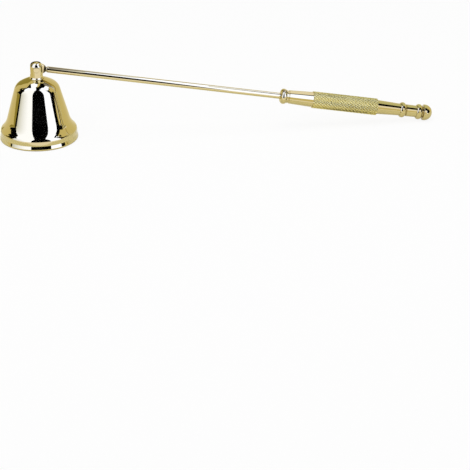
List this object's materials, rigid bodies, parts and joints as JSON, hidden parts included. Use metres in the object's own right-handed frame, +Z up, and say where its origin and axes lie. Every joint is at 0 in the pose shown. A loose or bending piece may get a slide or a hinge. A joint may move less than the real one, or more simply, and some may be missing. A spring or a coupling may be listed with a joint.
{
  "type": "candle snuffer",
  "caption": "Bell candle snuffer: a hollow metal bell hinged on a pin at the end of a thin rod, with a turned and knurled handle ending in a domed knob.",
  "frame": {"origin": "centre of the bell's mouth, on the plane of its rim and of the surface it stands on", "axes": "+Z up along the bell's axis, +X along the rod towards the handle, +Y along the hinge pin"},
  "size_m": [0.2535, 0.045, 0.0458],
  "materials": {
    "polished_gold": "mirror polished pale gold plate",
    "knurled_gold": "plated over a diamond knurl",
    "fastener_brass": "bright turned brass"
  },
  "bodies": {
    "handle": {"rod_tongue": "polished_gold", "rod": "polished_gold", "front_collar": "polished_gold", "knurled_grip": "knurled_gold", "tail_collar": "polished_gold", "end_knob": "polished_gold"},
    "bell": {"bell": "polished_gold", "hinge_post": "polished_gold", "crown_washer": "fastener_brass", "crown_nut": "fastener_brass", "hinge_pin": "fastener_brass"}
  },
  "joints": [
    {"name": "bell_swing", "type": "hinge", "parent": "handle", "child": "bell", "pos_m": [0, 0, 0.04216], "axis": [0, 1, 0], "range_deg": [-11, 209]}
  ]
}
